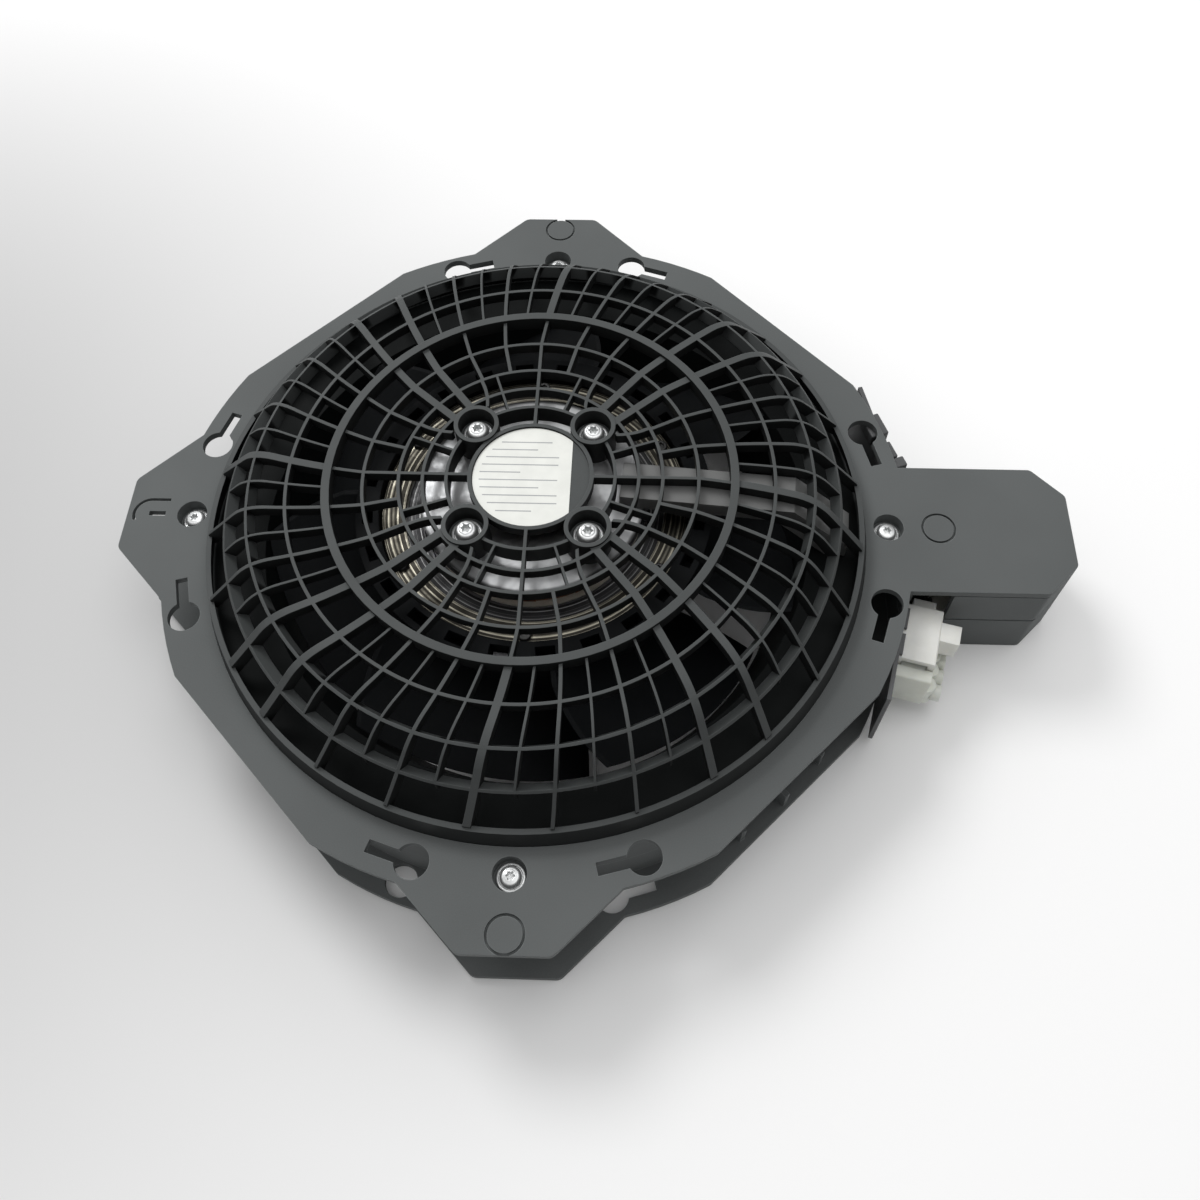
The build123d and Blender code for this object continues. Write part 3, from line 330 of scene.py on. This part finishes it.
MATERIALS = {
    # The housing is painted shade inside the guard's foot.
    "housing_plastic": moulded("housing_plastic", (0.117, 0.124, 0.124), 0.58, 0.00003, edge=2.6,
                               gloss=0.06, inside=TUNNEL_SHADE_START),
    # The guard's steep faces get a painted shade.
    "guard_plastic": moulded("guard_plastic", (0.068, 0.073, 0.073), 0.52, 0.00002, edge=1.8, gloss=0.14,
                             sides=0.16),
    "impeller_plastic": moulded("impeller_plastic", (0.0055, 0.0062, 0.0068), 0.55, 0.00002, edge=1.6,
                                gloss=0.06),
    "holder_plastic": moulded("holder_plastic", (0.060, 0.062, 0.064), 0.50, 0.00002, edge=2.0),
    "duct_plastic": moulded("duct_plastic", (0.12, 0.122, 0.12), 0.48, 0.00002, edge=1.3),
    "socket_nylon": nylon("socket_nylon", (0.80, 0.80, 0.76), 0.35, 0.40),
    "plug_nylon": nylon("plug_nylon", (0.74, 0.76, 0.69), 0.60, 0.35),
    "label": film("label", (0.80, 0.81, 0.765), 0.45),
    "zinc": bright_metal("zinc", (0.66, 0.67, 0.67), 0.42),
    "cast_metal": turned_metal("cast_metal", (0.36, 0.365, 0.37), 0.40, 0.0006, dark_from=0.0405),
    "rotor_steel": turned_metal("rotor_steel", (0.028, 0.026, 0.022), 0.36, 0.0009,
                                glint_rings=(0.34, 0.32, 0.26, 1.0)),
    "core_steel": laminated_steel(),
    "bearing_steel": bright_metal("bearing_steel", (0.62, 0.62, 0.63), 0.16),
    "cage_metal": turned_metal("cage_metal", (0.035, 0.035, 0.036), 0.38, 0.0012,
                               glint_rings=(0.42, 0.42, 0.42, 1.0)),
    "spring_steel": bright_metal("spring_steel", (0.20, 0.20, 0.21), 0.34),
    "copper": wound_copper(),
    "contact_metal": bright_metal("contact_metal", (0.74, 0.66, 0.48), 0.26),
    "liner_polymer": moulded("liner_polymer", (0.70, 0.68, 0.60), 0.45, 0.00002, edge=1.1),
    "lead_pvc": moulded("lead_pvc", (0.03, 0.03, 0.03), 0.42, 0.00002, edge=1.5),
    "capacitor_case": moulded("capacitor_case", (0.72, 0.72, 0.70), 0.38, 0.00002, edge=1.1),
    "block_polymer": moulded("block_polymer", (0.66, 0.66, 0.60), 0.42, 0.00002, edge=1.1),
}
INK = film("label_ink", (0.36, 0.37, 0.38), 0.5)
BLACKED = {"impeller_screws": bright_metal("blacked_zinc", (0.05, 0.05, 0.05), 0.45)}


def dress_nodes():
    """Every carried-over solid takes its record slot's material."""
    slots = {entry["node"]: entry["material_slot"] for entry in frame["record"]["subparts"]}
    for name, node in frame["nodes"].items():
        node.data.materials.clear()
        node.data.materials.append(BLACKED.get(name) or MATERIALS[slots[name]])


# Fasteners

def six_lobed(radius, angle):
    """Radius of a six-lobed screw drive at an angle."""
    return radius * (0.86 + 0.14 * math.cos(6 * angle))


def lathe(shape, profile, at, sides=72):
    """Rings of vertices about an upright axis.

    A profile entry is a radius, a height and whether it is six-lobed.
    """
    rings = []
    for radius, height, lobed in profile:
        ring = []
        for i in range(sides):
            angle = 2 * math.pi * i / sides
            reach = six_lobed(radius, angle) if lobed else radius
            offset = Vector((reach * math.cos(angle), reach * math.sin(angle), height))
            ring.append(shape.verts.new(at + offset))
        rings.append(ring)
    for lower, upper in zip(rings, rings[1:]):
        for i in range(sides):
            j = (i + 1) % sides
            shape.faces.new((lower[i], lower[j], upper[j], upper[i]))
    return rings


def closed_lathe(shape, profile, at, sides=72):
    rings = lathe(shape, profile, at, sides)
    shape.faces.new(rings[0])
    shape.faces.new(rings[-1])


def dome_profile(head, height, drive, depth):
    """Section of a pan head from its seat over the dome into its drive."""
    steps = 10
    profile = [(head * 0.93, 0.0, False), (head * 0.985, height * 0.06, False), (head, height * 0.16, False)]
    top = 0.62 * head
    for i in range(steps + 1):
        turn = math.radians(90 * i / steps)
        radius = top + (head - top) * math.cos(turn)
        profile.append((radius, height * (0.34 + 0.58 * math.sin(turn)), False))
    profile += [(drive * 1.18, height * 0.985, False), (drive * 1.03, height, True)]
    profile += [(drive, height * 0.965, True), (drive * 0.97, height - depth * 0.4, True)]
    profile.append((drive * 0.90, height - depth, True))
    profile.append((drive * 0.30, height - depth * 1.15, True))
    return profile


def screws(name, node, places, seat, head, height, drive, shank, length):
    """Six-lobed pan-head screws with a rolled thread, in place of a node's plain ones."""
    def build(shape):
        for place in places:
            at = Vector((place.x, place.y, seat))
            closed_lathe(shape, dome_profile(head, height, drive, height * 0.62), at)
            thread = []
            pitch = shank * 0.35
            turns = int(length / pitch)
            for i in range(2 * turns):
                thread.append((shank if i % 2 else shank * 0.86, -length + i * length / (2 * turns), False))
            point, neck = (shank * 0.7, -length, False), (shank * 0.9, 0.0, False)
            closed_lathe(shape, [point] + thread[1:] + [neck], at, 32)
    piece = mesh_object(name, build)
    smooth(piece, 28)
    piece.data.materials.append(MATERIALS["zinc"])
    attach(piece, "housing")
    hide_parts(node)


def washers(name, node, places, low, high, outer, lip, inner):
    """Dished washers with a flat outer ring and a groove inside it."""
    thick = high - low
    section = [(inner, low), (outer - thick * 0.3, low), (outer - thick * 0.08, low + thick * 0.1),
               (outer, low + thick * 0.35), (outer, low + thick * 0.8),
               (outer - thick * 0.12, high - thick * 0.03), (outer - thick * 0.2, high),
               (lip + thick * 0.1, high), (lip, high - thick * 0.1),
               (lip - thick * 0.1, low + thick * 0.4), (inner, low + thick * 0.4)]

    def build(shape):
        for place in places:
            at = Vector((place.x, place.y, 0.0))
            rings = lathe(shape, [(radius, height, False) for radius, height in section], at, 96)
            first, last = rings[0], rings[-1]
            for i in range(len(first)):
                j = (i + 1) % len(first)
                shape.faces.new((last[i], last[j], first[j], first[i]))
    piece = mesh_object(name, build)
    smooth(piece, 35)
    piece.data.materials.append(MATERIALS["zinc"])
    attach(piece, "housing")
    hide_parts(node)


def smooth(piece, degrees):
    piece.data.shade_smooth()
    piece.data.set_sharp_from_angle(angle=math.radians(degrees))


def circle_places(radius, start):
    turns = [math.radians(start + 90 * i) for i in range(4)]
    return [Vector((radius * math.cos(turn), radius * math.sin(turn), 0.0)) for turn in turns]


def fasteners():
    motor = circle_places(BOSS_CIRCLE, 45)
    joint = circle_places(JOINT_CIRCLE, 0)
    motor_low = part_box("motor_washers")[0].z
    joint_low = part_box("joint_washers")[0].z
    screws("six_lobed_motor_screws", "motor_screws", motor, seat=MOTOR_SEAT - 0.0007, head=0.0042,
           height=0.0042, drive=0.0019, shank=0.0025, length=0.0091)
    screws("six_lobed_joint_screws", "joint_screws", joint, seat=JOINT_SEAT - 0.0005, head=0.0037,
           height=0.0030, drive=0.0016, shank=0.0020, length=0.0295)
    washers("rimmed_motor_washers", "motor_washers", motor, low=motor_low, high=MOTOR_SEAT, outer=0.0055,
            lip=0.0046, inner=0.00265)
    washers("rimmed_joint_washers", "joint_washers", joint, low=joint_low, high=JOINT_SEAT, outer=0.0049,
            lip=0.0041, inner=0.00215)


# Label

RULE_PITCH = 0.0033
RULE_WIDTH = 0.00042
RULE_THICK = 0.00003
RULE_SHARES = (0.55, 0.92, 0.92, 0.70, 0.92, 0.48, 0.92, 0.92, 0.62, 0.80)
LABEL_MARGIN = 0.0024


def strip(shape, x0, x1, y0, y1, z0, z1):
    corners = [Vector((x, y, z)) for z in (z0, z1) for x, y in ((x0, y0), (x1, y0), (x1, y1), (x0, y1))]
    verts = [shape.verts.new(corner) for corner in corners]
    for face in ((3, 2, 1, 0), (4, 5, 6, 7), (0, 1, 5, 4), (1, 2, 6, 5), (2, 3, 7, 6), (3, 0, 4, 7)):
        shape.faces.new([verts[i] for i in face])


def label_rules():
    """Plain ruled lines of uneven length on the label."""
    def build(shape):
        count = len(RULE_SHARES)
        for i, share in enumerate(RULE_SHARES):
            y = (i - (count - 1) / 2) * RULE_PITCH
            half_chord = math.sqrt((LABEL_RADIUS - LABEL_MARGIN) ** 2 - y * y)
            left = -half_chord
            right = min(half_chord, LABEL_CHORD - LABEL_MARGIN)
            end = left + share * (right - left)
            low, high = y - RULE_WIDTH / 2, y + RULE_WIDTH / 2
            strip(shape, left, end, low, high, LABEL_TOP - RULE_THICK, LABEL_TOP + RULE_THICK)
    piece = mesh_object("label_rules", build)
    piece.data.materials.append(INK)
    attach(piece, "housing")


# Hooks of the spare holder, which show past the flange's edge

EDGE_START = Vector((0.1318, 0.0550, 0.0))
EDGE_ALONG = Vector((0.366, -0.931, 0.0))
EDGE_OUT = Vector((0.931, 0.366, 0.0))
HOOK_TOP = 0.0418
HOOK_ROOT = -0.0030                 # reaches in to the holder's strip
HOOK_ROUND = 0.0006
HOOKS = ((0.0, 0.0105, 0.0046, 0.0060), (0.0143, 0.0221, 0.0029, 0.0035), (0.0225, 0.0272, 0.0046, 0.0045))


def spare_hooks():
    """Each hook has a start and an end along the edge, a reach past it and a thickness."""
    def build(shape):
        for start, end, reach, thick in HOOKS:
            strip(shape, start, end, HOOK_ROOT, reach, HOOK_TOP - thick, HOOK_TOP)
        bmesh.ops.bevel(shape, geom=list(shape.edges), offset=HOOK_ROUND, segments=3, profile=0.5,
                        affect="EDGES")
        for vert in shape.verts:
            along, out, height = vert.co
            vert.co = EDGE_START + EDGE_ALONG * along + EDGE_OUT * out + Vector((0.0, 0.0, height))
    piece = mesh_object("spare_hooks", build)
    smooth(piece, 35)
    piece.data.materials.append(MATERIALS["holder_plastic"])
    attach(piece, "housing")


# Stage

FLOOR_HALF = 3.0
SHADE_PLACE = Vector((-0.40, 0.0, 0.0))         # centre of the floor's painted shade, where it is greyest
SHADE_REACH = 0.64
FLOOR_WHITE = (0.95, 0.95, 0.95, 1.0)
FLOOR_SHADE_GREY = (0.55, 0.55, 0.55, 1.0)
FLOOR_GLOW = 0.10                   # lifts the floor to the backdrop's white, for what sees it
FAR_GLOW = 0.45                     # more of it far out, where the lamps don't reach
NEAR_SHARE = 0.25                   # of the glow, under the fan
NEAR_EDGE = (0.12, 0.22)            # distances from the axis between under the fan and open floor
FAR_EDGE = (0.6, 2.2)
FLOOR_DROP = 0.0003


def shown_rays(nodes, links):
    """One for the rays that show the surroundings: to the camera, off gloss and through clear parts."""
    path = nodes.new("ShaderNodeLightPath")
    seen = path.outputs["Is Camera Ray"]
    for ray in ("Is Glossy Ray", "Is Transmission Ray"):
        either = nodes.new("ShaderNodeMath")
        either.operation = "MAXIMUM"
        links.new(seen, either.inputs[0])
        links.new(path.outputs[ray], either.inputs[1])
        seen = either.outputs["Value"]
    return seen


def floor():
    mesh = bpy.data.meshes.new("floor")
    half = FLOOR_HALF
    corners = [(-half, -half, 0), (half, -half, 0), (half, half, 0), (-half, half, 0)]
    mesh.from_pydata(corners, [], [(0, 1, 2, 3)])
    piece = link(bpy.data.objects.new("floor", mesh))
    piece.location.z = cad_bounds[0][2] - FLOOR_DROP
    shader = Shader("floor")
    offset = shader.add("ShaderNodeVectorMath", {0: shader.coordinates, 1: SHADE_PLACE}, operation="SUBTRACT")
    length = shader.add("ShaderNodeVectorMath", {0: offset.outputs["Vector"]}, operation="LENGTH")
    reach = length.outputs["Value"]
    fade = shader.add("ShaderNodeMapRange", {"Value": reach, "From Min": 0.0, "From Max": SHADE_REACH},
                      interpolation_type="SMOOTHERSTEP").outputs["Result"]
    # Painted shade: the floor greys towards one side.
    shader.connect(shader.mix(fade, FLOOR_SHADE_GREY, FLOOR_WHITE), "Base Color")
    seen = shown_rays(shader.nodes, shader.links)
    axis = shader.from_axis()
    open_floor = shader.math("ADD", shader.spread(axis, NEAR_SHARE * FLOOR_GLOW, FLOOR_GLOW, *NEAR_EDGE),
                             shader.spread(axis, 0.0, FAR_GLOW, *FAR_EDGE))
    glow = shader.math("MULTIPLY", shader.math("MULTIPLY", seen, fade), open_floor)
    shader.connect(glow, "Emission Strength")
    shader.set(Roughness=0.9, Specular_IOR_Level=0.1, Emission_Color=(1.0, 1.0, 1.0, 1.0))
    mesh.materials.append(shader.material)


SKY_SIDE = Vector((-0.30, 0.62, 0.72)).normalized()     # where the room's light comes from
SKY_DARK = 0.22
SKY_BRIGHT = 0.76
SKY_FADE = (-0.35, 1.0)             # cosine of the angle to SKY_SIDE, from dark to bright
BACKDROP = 1.0


def world():
    """A white backdrop, and room light that fades from one side of the sky to the other."""
    surroundings = bpy.data.worlds.new("studio")
    surroundings.use_nodes = True
    nodes = surroundings.node_tree.nodes
    links = surroundings.node_tree.links
    background = nodes["Background"]
    background.inputs["Color"].default_value = (1.0, 1.0, 1.0, 1.0)
    toward = nodes.new("ShaderNodeVectorMath")
    toward.operation = "DOT_PRODUCT"
    toward.inputs[1].default_value = SKY_SIDE
    links.new(nodes.new("ShaderNodeTexCoord").outputs["Generated"], toward.inputs[0])
    fade = nodes.new("ShaderNodeMapRange")
    fade.interpolation_type = "SMOOTHSTEP"
    keys = ("From Min", "From Max", "To Min", "To Max")
    for key, value in zip(keys, SKY_FADE + (SKY_DARK, SKY_BRIGHT)):
        fade.inputs[key].default_value = value
    links.new(toward.outputs["Value"], fade.inputs["Value"])
    level = nodes.new("ShaderNodeMix")
    level.inputs["B"].default_value = BACKDROP
    links.new(shown_rays(nodes, links), level.inputs["Factor"])
    links.new(fade.outputs["Result"], level.inputs["A"])
    links.new(level.outputs["Result"], background.inputs["Strength"])
    scene.world = surroundings


def lamp(name, place, aim, size, power):
    data = bpy.data.lights.new(name, "AREA")
    data.shape = "DISK"
    data.size = size
    data.energy = power
    obj = link(bpy.data.objects.new(name, data))
    obj.location = place
    obj.rotation_euler = (Vector(aim) - Vector(place)).to_track_quat("-Z", "Y").to_euler()


LAMP_AIM = (0, 0, 0.03)


def lamps():
    lamp("key", place=(-0.55, 0.75, 1.15), aim=LAMP_AIM, size=0.6, power=8.5)
    lamp("top", place=(0.35, 0.15, 1.50), aim=LAMP_AIM, size=0.9, power=3.6)


def camera():
    back = Vector((math.sin(AZIMUTH) * math.cos(ELEVATION), -math.cos(AZIMUTH) * math.cos(ELEVATION),
                   math.sin(ELEVATION)))
    level_right = Vector((math.cos(AZIMUTH), math.sin(AZIMUTH), 0.0))
    level_up = back.cross(level_right)
    right = math.cos(ROLL) * level_right + math.sin(ROLL) * level_up
    up = math.cos(ROLL) * level_up - math.sin(ROLL) * level_right
    data = bpy.data.cameras.new("camera")
    data.sensor_width = SENSOR
    data.lens = SENSOR * FOCAL_PIXELS / IMAGE_PIXELS
    data.shift_x = (IMAGE_PIXELS / 2 - AXIS_PIXELS[0]) / IMAGE_PIXELS
    data.shift_y = (AXIS_PIXELS[1] - IMAGE_PIXELS / 2) / IMAGE_PIXELS
    data.clip_start = 0.01
    obj = link(bpy.data.objects.new("camera", data))
    turn = Matrix((right, up, back)).transposed()
    obj.matrix_world = Matrix.Translation(AIM + back * DISTANCE) @ turn.to_4x4()
    scene.camera = obj


scene.view_settings.view_transform = "Standard"
dress_nodes()
fasteners()
label_rules()
spare_hooks()
floor()
world()
lamps()
camera()
